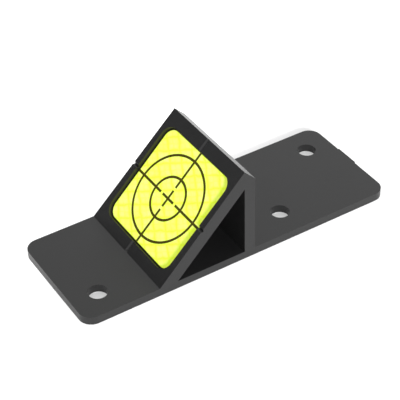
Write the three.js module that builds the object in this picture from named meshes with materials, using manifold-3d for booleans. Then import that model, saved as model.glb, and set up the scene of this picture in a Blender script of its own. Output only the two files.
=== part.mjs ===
// A survey target on a 45 degree bracket. A drilled mounting plate carries a slanted frame, moulded
// with it in one piece, and a retroreflective sighting sheet is laid up in the frame's recess.
//
// Millimetres, +Z up. The origin is in the middle of the plate's underside. +X runs along the plate
// from the foot of the slope towards its top, and +Y runs across the plate.
import * as THREE from "three";
import { mergeVertices } from "three/addons/utils/BufferGeometryUtils.js";
import Module from "manifold-3d";

const wasm = await Module();
wasm.setup();

// Mounting plate
const PLATE_LENGTH = 126.8;
const WIDTH = 46;
const PLATE_THICKNESS = 3.2;
const PLATE_CORNER_RADIUS = 5;
const SCREW_HOLE_RADIUS = 3.5;
const CORNER_HOLE_INSET = 10.5; // from both edges, in two opposite corners
const MIDDLE_HOLE_INSET = 11.2; // from the near edge
const MIDDLE_HOLE_FROM_REAR = 40.2;

// The mark that the mould's gate leaves on the plate's rear end
const GATE_PROUD = 0.4;
const GATE_WIDTH = 10;
const GATE_OFFSET = 1.4; // off the centre line
const GATE_LIFT = 0.8; // above the plate's underside

// Slanted frame
const SLOPE_ANGLE = THREE.MathUtils.degToRad(45);
const SLOPE_LENGTH = 49.2;
const FOOT_FROM_END = 28.8;
const SLAB_THICKNESS = 5.1;
const REAR_WALL_THICKNESS = 4.3;
const REAR_WALL_SETBACK = 4.3; // of its outer face, behind the slope's top edge
const SIDE_DRAFT = 0.8; // how far each side leans in at the slope's top edge

// Recess in the slanted face
const POCKET_WIDTH = 40.1;
const POCKET_LENGTH = 39.5;
const POCKET_DEPTH = 2.45;
const POCKET_FROM_FOOT = 4.5;
const POCKET_CORNER_RADIUS = 4.6;

// V grooves across the frame that mark the middle of each side
const NOTCH_WIDTH = 1.5;
const NOTCH_DEPTH = 0.8;

// Layers of the sighting sheet, from the recess's floor outwards
const SHEET_CLEARANCE = 0.34; // to the recess's walls
const LAYER_GAP = 0.05;
const ADHESIVE_THICKNESS = 0.15;
const SEAL_FILM_THICKNESS = 0.15;
const PRISM_FILM_THICKNESS = 0.15;
const FACE_FILM_THICKNESS = 0.15;
const INK_THICKNESS = 0.06;

// Raised ribs that weld the sealing film to the prism film and divide it into diamond cells
const CELL_PITCH = 4.95;
const CELL_ANGLE = THREE.MathUtils.degToRad(35); // between each set of ribs and the Y axis
const RIB_WIDTH = 0.5;
const RIB_HEIGHT = 0.1;

// Printed sighting marks
const OUTER_RING_RADIUS = 16;
const INNER_RING_RADIUS = 7.95;
const LINE_WIDTH = 0.95;
const ARM_START = 4.6;
const ARM_EDGE_MARGIN = 0.2;
const CROSS_HALF_LENGTH = 3.4;
const PRINT_SHIFT = [-0.45, 0.35]; // of the print on the sheet, up the slope and across it

const CORNER_CURVE_SEGMENTS = 6; // three.js cuts an arc into twice as many
const RING_CURVE_SEGMENTS = 48;
const HOLE_SEGMENTS = 48;
const OVERSHOOT = 2; // how far a cutter passes the faces that it cuts

// Places that follow from the sizes above
const LENGTH = PLATE_LENGTH + GATE_PROUD;
const FRONT_X = -LENGTH / 2;
const REAR_X = FRONT_X + PLATE_LENGTH;
const FOOT_X = FRONT_X + FOOT_FROM_END;
const APEX_X = FOOT_X + SLOPE_LENGTH * Math.cos(SLOPE_ANGLE);
const APEX_Z = PLATE_THICKNESS + SLOPE_LENGTH * Math.sin(SLOPE_ANGLE);
const WALL_OUTER_X = APEX_X + REAR_WALL_SETBACK;
const WALL_INNER_X = WALL_OUTER_X - REAR_WALL_THICKNESS;
const POCKET_CENTRE = POCKET_FROM_FOOT + POCKET_LENGTH / 2;
const SHEET_LENGTH = POCKET_LENGTH - 2 * SHEET_CLEARANCE;
const SHEET_WIDTH = POCKET_WIDTH - 2 * SHEET_CLEARANCE;
const SHEET_CORNER_RADIUS = POCKET_CORNER_RADIUS - SHEET_CLEARANCE;

const plastic = new THREE.MeshStandardMaterial({ color: 0x1a1a1b, roughness: 0.45, metalness: 0 });
const adhesive = new THREE.MeshStandardMaterial({ color: 0xd9d7cc, roughness: 0.6, metalness: 0 });
const whiteFilm = new THREE.MeshStandardMaterial({ color: 0xe8eae6, roughness: 0.5, metalness: 0 });
const prismFilm = new THREE.MeshStandardMaterial({ color: 0xe9ff5a, roughness: 0.25, metalness: 0 });
const faceFilm = new THREE.MeshStandardMaterial({ color: 0xe6ff28, roughness: 0.3, metalness: 0 });
const ink = new THREE.MeshStandardMaterial({ color: 0x262405, roughness: 0.5, metalness: 0 });

// Turns a closed geometry into a manifold-3d solid.
function solid(geometry) {
  const bare = geometry.clone();
  bare.deleteAttribute("normal");
  bare.deleteAttribute("uv");
  const merged = mergeVertices(bare, 1e-5);
  return new wasm.Manifold(
    new wasm.Mesh({
      numProp: 3,
      vertProperties: new Float32Array(merged.attributes.position.array),
      triVerts: new Uint32Array(merged.index.array),
    }),
  );
}

// Turns a manifold-3d solid back into a geometry with flat facets.
function geometryOf(body) {
  const mesh = body.getMesh();
  const indexed = new THREE.BufferGeometry();
  indexed.setAttribute("position", new THREE.BufferAttribute(mesh.vertProperties, 3));
  indexed.setIndex(new THREE.BufferAttribute(mesh.triVerts, 1));
  const faceted = indexed.toNonIndexed();
  faceted.computeVertexNormals();
  return faceted;
}

// A rectangle with rounded corners, length along X and width along Y.
function roundedRectangle(length, width, radius, centreX = 0) {
  const front = centreX - length / 2 + radius;
  const rear = centreX + length / 2 - radius;
  const y = width / 2 - radius;
  const shape = new THREE.Shape();
  shape.absarc(rear, y, radius, 0, Math.PI / 2);
  shape.absarc(front, y, radius, Math.PI / 2, Math.PI);
  shape.absarc(front, -y, radius, Math.PI, 1.5 * Math.PI);
  shape.absarc(rear, -y, radius, 1.5 * Math.PI, 2 * Math.PI);
  return shape;
}

function polygon(points) {
  return new THREE.Shape(points.map(([x, y]) => new THREE.Vector2(x, y)));
}

// Extrudes a shape along +Z, starting at the height `from`.
function extruded(shape, from, height, curveSegments = CORNER_CURVE_SEGMENTS) {
  const geometry = new THREE.ExtrudeGeometry(shape, { depth: height, bevelEnabled: false, curveSegments });
  return geometry.translate(0, 0, from);
}

// A bar along X, centred on the origin in X and Y and resting on the height `from`.
function bar(length, width, from, height) {
  return new THREE.BoxGeometry(length, width, height).translate(0, 0, from + height / 2);
}

// Takes a shape drawn in the side view, X and Z, and extrudes it right across the plate.
function acrossPlate(shape) {
  const depth = WIDTH + 2 * OVERSHOOT;
  return extruded(shape, -depth / 2, depth).rotateX(Math.PI / 2);
}

// Takes a shape drawn in the end view, Y and Z, and extrudes it right along the plate.
function alongPlate(shape) {
  const depth = LENGTH + 2 * OVERSHOOT;
  return extruded(shape, -depth / 2, depth).rotateX(Math.PI / 2).rotateZ(Math.PI / 2);
}

// The frame of the slanted face: X runs up the slope from its foot, and Z points out of the face.
const slope = new THREE.Group();
slope.position.set(FOOT_X, 0, PLATE_THICKNESS);
slope.rotation.y = -SLOPE_ANGLE;
slope.updateMatrixWorld(true);

function inSlopeFrame(geometry) {
  return solid(geometry.applyMatrix4(slope.matrixWorld));
}

// The plate, the slab and the rear wall, as one outline in the side view.
function sideOutline() {
  return polygon([
    [FRONT_X, 0],
    [REAR_X, 0],
    [REAR_X, PLATE_THICKNESS],
    [WALL_OUTER_X, PLATE_THICKNESS],
    [WALL_OUTER_X, APEX_Z - REAR_WALL_SETBACK / Math.tan(SLOPE_ANGLE)],
    [APEX_X, APEX_Z],
    [FOOT_X, PLATE_THICKNESS],
    [FRONT_X, PLATE_THICKNESS],
  ]);
}

// The triangular opening between the plate, the slab and the rear wall.
function openingOutline() {
  const foot = FOOT_X + SLAB_THICKNESS / Math.sin(SLOPE_ANGLE);
  const height = (WALL_INNER_X - foot) * Math.tan(SLOPE_ANGLE);
  return polygon([
    [foot, PLATE_THICKNESS],
    [WALL_INNER_X, PLATE_THICKNESS],
    [WALL_INNER_X, PLATE_THICKNESS + height],
  ]);
}

function plan() {
  return roundedRectangle(PLATE_LENGTH, WIDTH, PLATE_CORNER_RADIUS, (REAR_X + FRONT_X) / 2);
}

// What the sides lie inside, seen along X: upright beside the plate, leaning in above it.
function draftOutline() {
  const side = WIDTH / 2;
  const top = side - SIDE_DRAFT;
  return polygon([
    [-side, 0],
    [side, 0],
    [side, PLATE_THICKNESS],
    [top, APEX_Z],
    [-top, APEX_Z],
    [-side, PLATE_THICKNESS],
  ]);
}

function screwHoles() {
  const nearEdge = -WIDTH / 2;
  const centres = [
    [FRONT_X + CORNER_HOLE_INSET, nearEdge + CORNER_HOLE_INSET],
    [REAR_X - MIDDLE_HOLE_FROM_REAR, nearEdge + MIDDLE_HOLE_INSET],
    [REAR_X - CORNER_HOLE_INSET, -nearEdge - CORNER_HOLE_INSET],
  ];
  const drill = new THREE.CylinderGeometry(
    SCREW_HOLE_RADIUS,
    SCREW_HOLE_RADIUS,
    PLATE_THICKNESS + 2 * OVERSHOOT,
    HOLE_SEGMENTS,
  );
  drill.rotateX(Math.PI / 2).translate(0, 0, PLATE_THICKNESS / 2);
  const holes = centres.map(([x, y]) => solid(drill.clone().translate(x, y, 0)));
  return holes.reduce((all, hole) => all.add(hole));
}

function gateMark() {
  const depth = GATE_PROUD + OVERSHOOT;
  const height = PLATE_THICKNESS - GATE_LIFT;
  const mark = bar(depth, GATE_WIDTH, GATE_LIFT, height);
  return solid(mark.translate(REAR_X + GATE_PROUD - depth / 2, GATE_OFFSET, 0));
}

// The two V grooves, one up the slope and one across it, cut no lower than the plate's top.
function notches() {
  const flare = (NOTCH_WIDTH / 2) * (1 + OVERSHOOT / NOTCH_DEPTH);
  const groove = polygon([
    [0, -NOTCH_DEPTH],
    [flare, OVERSHOOT],
    [-flare, OVERSHOOT],
  ]);
  const reach = 2 * SLOPE_LENGTH;
  const across = extruded(groove, -reach / 2, reach).rotateX(Math.PI / 2);
  const upSlope = across.clone().rotateZ(Math.PI / 2);
  const abovePlate = bar(LENGTH, 2 * WIDTH, PLATE_THICKNESS, 2 * APEX_Z);
  return inSlopeFrame(across.translate(SLOPE_LENGTH / 2, 0, 0))
    .add(inSlopeFrame(upSlope))
    .intersect(solid(abovePlate));
}

function bracket() {
  const pocket = roundedRectangle(POCKET_LENGTH, POCKET_WIDTH, POCKET_CORNER_RADIUS);
  const pocketCutter = extruded(pocket, -POCKET_DEPTH, POCKET_DEPTH + OVERSHOOT);
  const body = solid(acrossPlate(sideOutline()))
    .subtract(solid(acrossPlate(openingOutline())))
    .intersect(solid(extruded(plan(), -OVERSHOOT, APEX_Z + 2 * OVERSHOOT)))
    .intersect(solid(alongPlate(draftOutline())))
    .add(gateMark())
    .subtract(screwHoles())
    .subtract(inSlopeFrame(pocketCutter.translate(POCKET_CENTRE, 0, 0)))
    .subtract(notches());
  return geometryOf(body);
}

const sheetOutline = roundedRectangle(SHEET_LENGTH, SHEET_WIDTH, SHEET_CORNER_RADIUS);

function layer(thickness) {
  return extruded(sheetOutline, 0, thickness);
}

// The sealing film with its two sets of crossing ribs, which stop at the film's edge.
function sealFilm() {
  const reach = SHEET_LENGTH + SHEET_WIDTH;
  const total = SEAL_FILM_THICKNESS;
  const lines = Math.floor(reach / 2 / CELL_PITCH);
  const outline = solid(layer(total));
  let film = solid(layer(total - RIB_HEIGHT));
  for (const turn of [Math.PI / 2 - CELL_ANGLE, Math.PI / 2 + CELL_ANGLE]) {
    for (let line = -lines; line <= lines; line += 1) {
      const rib = bar(reach, RIB_WIDTH, 0, total).translate(0, line * CELL_PITCH, 0);
      film = film.add(solid(rib.rotateZ(turn)).intersect(outline));
    }
  }
  return geometryOf(film);
}

function ring(radius) {
  const shape = new THREE.Shape().absarc(0, 0, radius + LINE_WIDTH / 2, 0, 2 * Math.PI);
  shape.holes.push(new THREE.Path().absarc(0, 0, radius - LINE_WIDTH / 2, 0, 2 * Math.PI, true));
  return solid(extruded(shape, 0, INK_THICKNESS, RING_CURVE_SEGMENTS));
}

// Both rings and the four arms, which cross the rings and run out to the sheet's edge.
function reticle() {
  const [up, across] = PRINT_SHIFT;
  const edges = [
    SHEET_LENGTH / 2 - up,
    SHEET_WIDTH / 2 - across,
    SHEET_LENGTH / 2 + up,
    SHEET_WIDTH / 2 + across,
  ];
  let marks = ring(OUTER_RING_RADIUS).add(ring(INNER_RING_RADIUS));
  edges.forEach((edge, arm) => {
    const end = edge - ARM_EDGE_MARGIN;
    const line = bar(end - ARM_START, LINE_WIDTH, 0, INK_THICKNESS);
    marks = marks.add(solid(line.translate((end + ARM_START) / 2, 0, 0).rotateZ((arm * Math.PI) / 2)));
  });
  return geometryOf(marks);
}

function centreCross() {
  const line = bar(2 * CROSS_HALF_LENGTH, LINE_WIDTH, 0, INK_THICKNESS);
  return geometryOf(solid(line).add(solid(line.clone().rotateZ(Math.PI / 2))));
}

function addMesh(parent, name, geometry, material) {
  const mesh = new THREE.Mesh(geometry, material);
  mesh.name = name;
  parent.add(mesh);
  return mesh;
}

const target = new THREE.Group();
addMesh(target, "bracket", bracket(), plastic);
target.add(slope);

// Each layer rests on the one before it, with a small gap between them.
const layers = [
  ["target_adhesive", layer(ADHESIVE_THICKNESS), adhesive, ADHESIVE_THICKNESS],
  ["seal_film", sealFilm(), whiteFilm, SEAL_FILM_THICKNESS],
  ["prism_film", layer(PRISM_FILM_THICKNESS), prismFilm, PRISM_FILM_THICKNESS],
  ["face_film", layer(FACE_FILM_THICKNESS), faceFilm, FACE_FILM_THICKNESS],
];
let height = LAYER_GAP - POCKET_DEPTH;
for (const [name, geometry, material, thickness] of layers) {
  addMesh(slope, name, geometry, material).position.set(POCKET_CENTRE, 0, height);
  height += thickness + LAYER_GAP;
}

const marks = [
  ["reticle_print", reticle()],
  ["centre_cross", centreCross()],
];
for (const [name, geometry] of marks) {
  const [up, across] = PRINT_SHIFT;
  addMesh(slope, name, geometry, ink).position.set(POCKET_CENTRE + up, across, height);
}

export default target;
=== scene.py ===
"""The looks of a slanted survey target: a black moulded bracket with a fluorescent sighting sheet.

Each piece starts from the shape of its CAD node, so it lies where the frame says, and is refined:
edges are rounded, cells are pressed into the film, and the print is laid on it. Meshes are worked
on in millimetres and scaled to metres at the end.
"""

import math

import bmesh
import bpy
from mathutils import Matrix, Vector


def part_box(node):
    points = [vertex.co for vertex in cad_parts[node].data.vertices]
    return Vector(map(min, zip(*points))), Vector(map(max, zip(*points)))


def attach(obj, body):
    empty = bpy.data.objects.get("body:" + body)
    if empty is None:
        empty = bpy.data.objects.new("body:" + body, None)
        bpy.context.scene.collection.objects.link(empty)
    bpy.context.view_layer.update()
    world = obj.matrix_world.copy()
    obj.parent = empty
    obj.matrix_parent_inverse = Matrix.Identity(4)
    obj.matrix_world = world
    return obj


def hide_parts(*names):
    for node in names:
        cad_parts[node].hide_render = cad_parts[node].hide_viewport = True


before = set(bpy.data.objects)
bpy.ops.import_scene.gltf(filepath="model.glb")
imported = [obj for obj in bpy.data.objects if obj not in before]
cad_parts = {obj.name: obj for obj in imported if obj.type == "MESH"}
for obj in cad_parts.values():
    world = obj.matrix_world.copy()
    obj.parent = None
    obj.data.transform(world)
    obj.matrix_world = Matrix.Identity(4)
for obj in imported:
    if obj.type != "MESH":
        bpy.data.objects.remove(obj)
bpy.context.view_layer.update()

MM = 0.001
SLOPE_ANGLE = math.radians(45)

# Clean-up of the imported meshes
WELD_DISTANCE = 0.001
FLAT_ANGLE = math.radians(0.3)
SHARP_ANGLE = math.radians(25)

# Camera: where it stands and looks, in radians and metres, and its lens in millimetres
CAMERA_AZIMUTH = math.radians(-32.33)
CAMERA_ELEVATION = math.radians(39.45)
CAMERA_ROLL = math.radians(-0.64)
CAMERA_DISTANCE = 0.4791
CAMERA_TARGET = Vector((-0.0046, -0.0013, 0.0138))
CAMERA_LENS = 121.74
SENSOR_WIDTH = 36.0

# Bracket, in millimetres
EDGE_RADIUS = 0.22
EDGE_SEGMENTS = 3
EJECTOR_RADIUS = 3.0
EJECTOR_DEPTH = 0.12
EJECTOR_SHARES = (0.24, 0.76)

# Sighting sheet, in millimetres. The phases place the first border of each set of cell borders.
CELL_PITCH = 4.95
CELL_ANGLE = math.radians(35)
CELL_PHASES = (2.85, 1.95)
CELL_WANDER = 0.3
BORDER_WIDTH = 1.25
HALF_BORDER_WIDTH = 0.5
GROOVE_WIDTH = 0.3
GROOVE_DEPTH = 0.03
GROOVE_FLARE = 2.0
FILM_CORNER_RADIUS = 4.26
# Width of the painted shade along the film's edge, where the recess wall shades it
EDGE_SHADE_WIDTH = 0.3
INK_THICKNESS = 0.03
INK_SINK = 0.005

# Studio light, as brightness where 1 is white
FLOOR_GLOW = 0.35
FLOOR_GLOW_BEHIND = 1.3
WORLD_BRIGHT = 1.15
WORLD_DARK = 0.15

# Floor, in metres: it lies just under the bracket, and its glow grows along one direction
FLOOR_HALF_SIZE = 3.0
FLOOR_DROP = 0.02 * MM
GLOW_DIRECTION = (-0.2, 0.98, 0.0)
GLOW_START = 0.012
GLOW_END = 0.06

# Surround: its bright side, and where it fades, as cosines of the angle from that side
WORLD_BRIGHT_SIDE = Vector((0.62, -0.58, 0.53))
WORLD_FADE_START = -0.63
WORLD_FADE_END = 0.2

# Key light: where it comes from, its strength, and its width in degrees
KEY_DIRECTION = Vector((-0.23, -0.89, 0.40))
KEY_STRENGTH = 7.0
KEY_SPREAD = 11


# ---------------------------------------------------------------- mesh helpers

def slope_matrix():
    """The sheet's own frame, in millimetres: X up the slope, Y across it, Z out of its face."""
    low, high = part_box("face_film")
    turn = Matrix.Rotation(-SLOPE_ANGLE, 4, "Y")
    return Matrix.Translation((low + high) / 2 / MM) @ turn


SLOPE = slope_matrix()
TO_SLOPE = SLOPE.inverted()


def cad_copy(node, matrix=None):
    """A welded copy of a CAD node's mesh, in millimetres, with its flat facets joined."""
    shape = bmesh.new()
    shape.from_mesh(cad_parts[node].data)
    shape.transform(Matrix.Scale(1 / MM, 4))
    if matrix is not None:
        shape.transform(matrix)
    bmesh.ops.remove_doubles(shape, verts=shape.verts, dist=WELD_DISTANCE)
    bmesh.ops.dissolve_limit(
        shape, angle_limit=FLAT_ANGLE, verts=shape.verts, edges=shape.edges
    )
    bmesh.ops.recalc_face_normals(shape, faces=shape.faces)
    return shape


def extent(shape):
    """The lowest and highest corner of a bmesh."""
    points = [v.co for v in shape.verts]
    low = Vector([min(p[axis] for p in points) for axis in range(3)])
    high = Vector([max(p[axis] for p in points) for axis in range(3)])
    return low, high


def as_object(shape, name):
    """Makes an object of a bmesh, without the import's stored normals."""
    mesh = bpy.data.meshes.new(name)
    shape.to_mesh(mesh)
    shape.free()
    for stored in ("custom_normal", "sharp_edge", "sharp_face"):
        if stored in mesh.attributes:
            mesh.attributes.remove(mesh.attributes[stored])
    made = bpy.data.objects.new(name, mesh)
    bpy.context.scene.collection.objects.link(made)
    return made


def apply_modifiers(made):
    """Bakes the object's modifiers into its mesh."""
    bpy.context.view_layer.update()
    depsgraph = bpy.context.evaluated_depsgraph_get()
    baked = bpy.data.meshes.new_from_object(made.evaluated_get(depsgraph))
    made.modifiers.clear()
    made.data = baked


def cut(made, cutter):
    """Takes one object out of another, and removes the cutter."""
    boolean = made.modifiers.new("cut", "BOOLEAN")
    boolean.operation = "DIFFERENCE"
    boolean.solver = "EXACT"
    boolean.use_self = True
    boolean.object = cutter
    apply_modifiers(made)
    bpy.data.objects.remove(cutter)


def round_edges(made, radius, segments):
    """Rounds every sharp edge and keeps the flat faces flat in the shading."""
    made.data.shade_smooth()
    bevel = made.modifiers.new("round", "BEVEL")
    bevel.width = radius
    bevel.segments = segments
    bevel.limit_method = "ANGLE"
    bevel.angle_limit = SHARP_ANGLE
    bevel.harden_normals = True
    apply_modifiers(made)


def place(made, matrix=None):
    """Scales a finished piece to metres and puts it in the row frame."""
    made.data.transform(Matrix.Scale(MM, 4))
    if matrix is not None:
        moved = matrix.copy()
        moved.translation *= MM
        made.matrix_world = moved
    return made


def hand_over(made, material, slot, *nodes):
    """Gives a piece its material and its body, and hides the CAD nodes that it stands for. The slot is
    not used.
    """
    made.data.materials.clear()
    made.data.materials.append(material)
    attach(made, "root")
    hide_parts(*nodes)


# ---------------------------------------------------------------- node helpers

class Graph:
    """A material's node tree, with short calls for adding and joining nodes."""

    def __init__(self, name):
        self.material = bpy.data.materials.new(name)
        self.material.use_nodes = True
        self.nodes = self.material.node_tree.nodes
        self.links = self.material.node_tree.links
        self.shader = self.nodes["Principled BSDF"]
        self.coordinates = self.nodes.new("ShaderNodeTexCoord").outputs["Object"]

    def join(self, value, socket):
        """Links a socket, or sets a plain value."""
        if isinstance(value, bpy.types.NodeSocket):
            self.links.new(value, socket)
        else:
            socket.default_value = value

    def math(self, operation, a, b=0.0, c=0.0):
        """A calculation on up to three numbers."""
        node = self.nodes.new("ShaderNodeMath")
        node.operation = operation
        for value, socket in zip((a, b, c), node.inputs):
            self.join(value, socket)
        return node.outputs[0]

    def noise(self, scale, detail=2.0, roughness=0.5):
        """Soft noise around 0.5 that is fixed to the piece."""
        node = self.nodes.new("ShaderNodeTexNoise")
        self.join(self.coordinates, node.inputs["Vector"])
        node.inputs["Scale"].default_value = scale
        node.inputs["Detail"].default_value = detail
        node.inputs["Roughness"].default_value = roughness
        return node.outputs["Fac"]

    def vector(self, operation, a, b=(0.0, 0.0, 0.0)):
        """A calculation on vectors. It gives a number for a dot product or a length."""
        node = self.nodes.new("ShaderNodeVectorMath")
        node.operation = operation
        self.join(a, node.inputs[0])
        self.join(b, node.inputs[1])
        return node.outputs["Value" if operation in ("DOT_PRODUCT", "LENGTH") else "Vector"]

    def dot(self, direction):
        """How far a point of the piece lies along a direction, in metres."""
        return self.vector("DOT_PRODUCT", self.coordinates, direction)

    def cell_noise(self, x, y):
        """A random number for each whole-number pair."""
        pair = self.nodes.new("ShaderNodeCombineXYZ")
        self.join(x, pair.inputs[0])
        self.join(y, pair.inputs[1])
        node = self.nodes.new("ShaderNodeTexWhiteNoise")
        node.noise_dimensions = "2D"
        self.join(pair.outputs[0], node.inputs["Vector"])
        return node.outputs["Value"]

    def remap(self, value, low, high, to_low=0.0, to_high=1.0):
        """Stretches the range low to high onto to_low to to_high, and holds it past the ends."""
        node = self.nodes.new("ShaderNodeMapRange")
        self.join(value, node.inputs["Value"])
        limits = {"From Min": low, "From Max": high, "To Min": to_low, "To Max": to_high}
        for socket, number in limits.items():
            node.inputs[socket].default_value = number
        return node.outputs["Result"]

    def mix(self, factor, a, b):
        """A colour between a, at factor 0, and b, at factor 1."""
        node = self.nodes.new("ShaderNodeMix")
        node.data_type = "RGBA"
        self.join(factor, node.inputs["Factor"])
        self.join(a, node.inputs["A"])
        self.join(b, node.inputs["B"])
        return node.outputs["Result"]

    def bump(self, height, distance, strength, onto=None):
        """A normal from a height, on top of another bump where one is given."""
        node = self.nodes.new("ShaderNodeBump")
        node.inputs["Strength"].default_value = strength
        node.inputs["Distance"].default_value = distance
        self.join(height, node.inputs["Height"])
        if onto is not None:
            self.join(onto, node.inputs["Normal"])
        return node.outputs["Normal"]

    def surface(self, **values):
        """Sets the shader's sockets by their names, with _ for a space."""
        for name, value in values.items():
            self.join(value, self.shader.inputs[name.replace("_", " ")])
        return self.material


def grey(value, tint=(1.0, 1.0, 1.0)):
    """An opaque grey, with a slight tint."""
    return (value * tint[0], value * tint[1], value * tint[2], 1.0)


# ---------------------------------------------------------------- materials

def black_plastic():
    """Moulded black plastic: a fine satin grain over a faint, slow waviness."""
    g = Graph("black_plastic")
    cloud = g.noise(60.0, 3.0)
    grain = g.noise(2600.0, 2.0, 0.6)
    wave = g.noise(35.0, 1.0)
    colour = g.mix(cloud, grey(0.0046, (1.0, 1.0, 1.03)), grey(0.006, (1.0, 1.0, 1.02)))
    roughness = g.math("ADD", g.remap(cloud, 0.3, 0.7, 0.37, 0.42), g.remap(grain, 0.3, 0.7, -0.03, 0.03))
    slow = g.bump(wave, 0.0004, 0.12)
    normal = g.bump(grain, 0.00002, 0.35, slow)
    return g.surface(Base_Color=colour, Roughness=roughness, Normal=normal, IOR=1.5)


def film_lines(g, pitch, width):
    """How near a point is to a cell border, 0 to 1, and the two whole numbers of its cell."""
    lines = []
    indices = []
    for side, phase in zip((1, -1), CELL_PHASES):
        direction = (math.cos(CELL_ANGLE), side * math.sin(CELL_ANGLE), 0.0)
        wander = g.remap(g.noise(260.0 + 40.0 * side, 1.0), 0.3, 0.7, -CELL_WANDER * MM, CELL_WANDER * MM)
        along = g.math("SUBTRACT", g.dot(direction), phase * MM)
        steps = g.math("DIVIDE", g.math("ADD", along, wander), pitch * MM)
        indices.append(g.math("FLOOR", steps))
        off = g.math("PINGPONG", steps, 0.5)
        lines.append(g.remap(off, 0.0, width / pitch, 1.0, 0.0))
    return g.math("MAXIMUM", *lines), indices


def edge_shade_mask(g, half_size):
    """Painted shade along the film's cut edge, where the recess wall shades it: 1 along the edge and 0
    inside it, from the distance to a rounded rectangle.
    """
    inner = Vector((half_size.x - FILM_CORNER_RADIUS, half_size.y - FILM_CORNER_RADIUS, 0.0))
    flat = g.vector("MULTIPLY", g.coordinates, (1.0, 1.0, 0.0))
    beyond = g.vector("SUBTRACT", g.vector("ABSOLUTE", flat), inner * MM)
    outside = g.vector("MAXIMUM", beyond, (0.0, 0.0, 0.0))
    corner = g.math("SUBTRACT", g.vector("LENGTH", outside), FILM_CORNER_RADIUS * MM)
    return g.remap(corner, -EDGE_SHADE_WIDTH * MM, -0.4 * EDGE_SHADE_WIDTH * MM)


def fluorescent_film(half_size):
    """The yellow-green microprismatic face: pale cells, deeper borders, painted shade along its edge and
    a painted glow.
    """
    g = Graph("fluorescent_film")
    border, indices = film_lines(g, CELL_PITCH, BORDER_WIDTH)
    half_border, halves = film_lines(g, CELL_PITCH / 2, HALF_BORDER_WIDTH)
    shade = g.cell_noise(*indices)
    half_shade = g.cell_noise(*halves)
    cloud = g.noise(170.0, 2.0)
    speckle = g.noise(1100.0, 2.0)
    prisms = g.noise(5200.0, 1.0)
    pale = g.math("MULTIPLY_ADD", shade, 0.25, g.math("MULTIPLY", half_shade, 0.25))
    pale = g.math("MULTIPLY_ADD", cloud, 0.25, pale)
    pale = g.math("MULTIPLY_ADD", speckle, 0.45, pale)
    body = g.mix(pale, (0.34, 0.37, 0.035, 1.0), (0.37, 0.37, 0.195, 1.0))
    lined = g.mix(g.math("MULTIPLY", half_border, 0.3), body, (0.33, 0.37, 0.03, 1.0))
    narrow = g.math("POWER", border, 1.4)
    colour = g.mix(g.math("MULTIPLY", narrow, 0.8), lined, (0.28, 0.35, 0.02, 1.0))
    painted_edge_shade = edge_shade_mask(g, half_size)
    return g.surface(
        # Painted shade: the colour turns dark and the glow goes out along the film's edge
        Base_Color=g.mix(painted_edge_shade, colour, (0.03, 0.03, 0.002, 1.0)),
        Roughness=g.remap(cloud, 0.3, 0.7, 0.3, 0.38),
        Normal=g.bump(prisms, 0.00001, 0.3),
        # Painted glow: a steady emission stands in for the film's fluorescence and lights it whatever the
        # lamps do
        Emission_Color=g.mix(painted_edge_shade, (0.42, 0.56, 0.001, 1.0), (0.0, 0.0, 0.0, 1.0)),
        Emission_Strength=1.0,
        Specular_IOR_Level=0.15,
    )


def ink():
    """Screen-printed black ink, a little uneven where it lies on the yellow film."""
    g = Graph("ink")
    mottle = g.noise(1500.0, 3.0)
    colour = g.mix(mottle, (0.030, 0.026, 0.001, 1.0), (0.042, 0.037, 0.001, 1.0))
    normal = g.bump(mottle, 0.00002, 0.25)
    rough = g.remap(mottle, 0.3, 0.7, 0.45, 0.55)
    return g.surface(Base_Color=colour, Roughness=rough, Normal=normal, Specular_IOR_Level=0.15)


def layer_material(name, low, high, scale, roughness):
    """A plain inner layer of the sheet, with a soft mottle."""
    g = Graph(name)
    mottle = g.noise(scale, 3.0)
    normal = g.bump(mottle, 0.00003, 0.3)
    colour = g.mix(mottle, low, high)
    rough = g.remap(mottle, 0.3, 0.7, roughness - 0.05, roughness + 0.05)
    return g.surface(Base_Color=colour, Roughness=rough, Normal=normal)


# ---------------------------------------------------------------- pieces

def ejector_marks(low, high):
    """Shallow round cutters for the marks that ejector pins leave under the plate."""
    shape = bmesh.new()
    length = high.x - low.x
    width = high.y - low.y
    for along in EJECTOR_SHARES:
        for across in EJECTOR_SHARES:
            centre = (low.x + along * length, low.y + across * width, low.z)
            bmesh.ops.create_cone(
                shape,
                cap_ends=True,
                segments=48,
                radius1=EJECTOR_RADIUS,
                radius2=EJECTOR_RADIUS,
                depth=2 * EJECTOR_DEPTH,
                matrix=Matrix.Translation(centre),
            )
    return as_object(shape, "ejector_marks")


def make_bracket():
    """The moulding, with ejector marks under its plate and every edge rounded."""
    shape = cad_copy("bracket")
    low, high = extent(shape)
    made = as_object(shape, "bracket_moulding")
    cut(made, ejector_marks(low, high))
    round_edges(made, EDGE_RADIUS, EDGE_SEGMENTS)
    hand_over(place(made), black_plastic(), "black_plastic", "bracket")


def groove_cutter(top, reach):
    """V-shaped bars along both sets of cell borders, with their points in the film.

    The bars stand above the film's face and widen by GROOVE_FLARE up there, so they cut cleanly.
    """
    shape = bmesh.new()
    half = GROOVE_WIDTH / 2
    rise = GROOVE_DEPTH * (GROOVE_FLARE - 1)
    section = [(-half * GROOVE_FLARE, rise), (0, -GROOVE_DEPTH), (half * GROOVE_FLARE, rise)]
    count = int(reach / CELL_PITCH)
    for side, phase in zip((1, -1), CELL_PHASES):
        turn = Matrix.Rotation(side * CELL_ANGLE, 4, "Z")
        for line in range(-count, count + 1):
            offset = phase + line * CELL_PITCH
            ends = []
            for end in (-reach, reach):
                corners = [turn @ Vector((offset + x, end, top + z)) for x, z in section]
                ends.append([shape.verts.new(corner) for corner in corners])
            shape.faces.new(ends[0])
            shape.faces.new(reversed(ends[1]))
            for i in range(3):
                j = (i + 1) % 3
                shape.faces.new((ends[0][j], ends[0][i], ends[1][i], ends[1][j]))
    bmesh.ops.recalc_face_normals(shape, faces=shape.faces)
    return as_object(shape, "groove_cutter")


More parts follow.
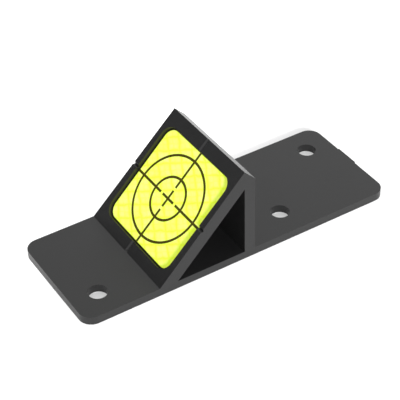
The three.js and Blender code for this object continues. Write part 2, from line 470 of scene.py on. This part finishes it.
def make_film():
    """The face film, with the cell borders pressed into it. Gives the height of its face."""
    shape = cad_copy("face_film", TO_SLOPE)
    low, high = extent(shape)
    made = as_object(shape, "face_film_cells")
    cut(made, groove_cutter(high.z, (high - low).length / 2 + CELL_PITCH))
    made.data.shade_flat()
    material = fluorescent_film((high - low) / 2)
    hand_over(place(made, SLOPE), material, "face_film", "face_film")
    return high.z


def make_print(node, name, film_top, material):
    """A printed mark, flattened to the thickness of ink and laid on the film."""
    shape = cad_copy(node, TO_SLOPE)
    low, high = extent(shape)
    for vertex in shape.verts:
        share = (vertex.co.z - low.z) / (high.z - low.z)
        vertex.co.z = film_top - INK_SINK + share * (INK_THICKNESS + INK_SINK)
    made = as_object(shape, name)
    made.data.shade_flat()
    hand_over(place(made, SLOPE), material, "ink", node)


def dress(node, material):
    """A CAD node that stays in view gets a finished material."""
    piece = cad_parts[node]
    piece.data.materials.clear()
    piece.data.materials.append(material)


# ---------------------------------------------------------------- studio

def make_floor():
    """A pale floor with a painted glow that grows brighter behind the bracket and washes out the
    bracket's cast shadow there.
    """
    mesh = bpy.data.meshes.new("floor")
    sides = ((-1, -1), (1, -1), (1, 1), (-1, 1))
    corners = [(x * FLOOR_HALF_SIZE, y * FLOOR_HALF_SIZE, -FLOOR_DROP) for x, y in sides]
    mesh.from_pydata(corners, [], [(0, 1, 2, 3)])
    floor = bpy.data.objects.new("floor", mesh)
    bpy.context.scene.collection.objects.link(floor)
    g = Graph("floor")
    colour = g.mix(g.noise(1.5, 1.0), grey(0.45), grey(0.47))
    glow = g.remap(g.dot(GLOW_DIRECTION), GLOW_START, GLOW_END, FLOOR_GLOW, FLOOR_GLOW_BEHIND)
    material = g.surface(
        Base_Color=colour,
        Roughness=0.9,
        Emission_Color=grey(1.0),
        Emission_Strength=glow,
        Specular_IOR_Level=0.0,
    )
    mesh.materials.append(material)


def make_world():
    """A soft white surround that falls off to grey behind the low end of the slope."""
    world = bpy.data.worlds.new("studio")
    bpy.context.scene.world = world
    world.use_nodes = True
    nodes = world.node_tree.nodes
    links = world.node_tree.links
    direction = nodes.new("ShaderNodeTexCoord").outputs["Generated"]
    towards = nodes.new("ShaderNodeVectorMath")
    towards.operation = "DOT_PRODUCT"
    towards.inputs[1].default_value = WORLD_BRIGHT_SIDE.normalized()
    links.new(direction, towards.inputs[0])
    fade = nodes.new("ShaderNodeMapRange")
    fade.interpolation_type = "SMOOTHSTEP"
    fade.inputs["From Min"].default_value = WORLD_FADE_START
    fade.inputs["From Max"].default_value = WORLD_FADE_END
    fade.inputs["To Min"].default_value = WORLD_DARK
    fade.inputs["To Max"].default_value = WORLD_BRIGHT
    links.new(towards.outputs["Value"], fade.inputs["Value"])
    background = nodes["Background"]
    background.inputs["Color"].default_value = grey(1.0)
    links.new(fade.outputs["Result"], background.inputs["Strength"])


def make_sun(name, direction, strength, spread):
    """A distant soft light that shines from the given direction and leaves no highlight."""
    light = bpy.data.lights.new(name, "SUN")
    light.energy = strength
    light.angle = math.radians(spread)
    lamp = bpy.data.objects.new(name, light)
    lamp.rotation_mode = "QUATERNION"
    lamp.rotation_quaternion = direction.to_track_quat("Z", "Y")
    lamp.visible_glossy = False
    bpy.context.scene.collection.objects.link(lamp)


def make_camera():
    """The camera, turned about its own line of sight by its roll."""
    azimuth, elevation = CAMERA_AZIMUTH, CAMERA_ELEVATION
    back = Vector(
        (
            math.sin(azimuth) * math.cos(elevation),
            -math.cos(azimuth) * math.cos(elevation),
            math.sin(elevation),
        )
    )
    right = Vector((0, 0, 1)).cross(back).normalized()
    axes = Matrix((right, back.cross(right), back)).transposed().to_4x4()
    data = bpy.data.cameras.new("camera")
    data.lens = CAMERA_LENS
    data.sensor_width = SENSOR_WIDTH
    data.clip_start = 0.01
    camera = bpy.data.objects.new("camera", data)
    bpy.context.scene.collection.objects.link(camera)
    place_at = Matrix.Translation(CAMERA_TARGET + back * CAMERA_DISTANCE)
    camera.matrix_world = place_at @ axes @ Matrix.Rotation(CAMERA_ROLL, 4, "Z")
    bpy.context.scene.camera = camera


bpy.context.scene.view_settings.view_transform = "Standard"
make_camera()
make_floor()
make_world()
make_sun("key_light", KEY_DIRECTION, KEY_STRENGTH, KEY_SPREAD)

make_bracket()
film_top = make_film()
print_ink = ink()
make_print("reticle_print", "reticle_ink", film_top, print_ink)
make_print("centre_cross", "centre_cross_ink", film_top, print_ink)
dress("target_adhesive", layer_material("adhesive", grey(0.012), grey(0.03), 400.0, 0.7))
dress("seal_film", layer_material("seal_film", grey(0.72), grey(0.8), 300.0, 0.5))
prism_low = (0.75, 0.85, 0.05, 1.0)
prism_high = (0.82, 0.9, 0.12, 1.0)
dress("prism_film", layer_material("prism_film", prism_low, prism_high, 900.0, 0.25))
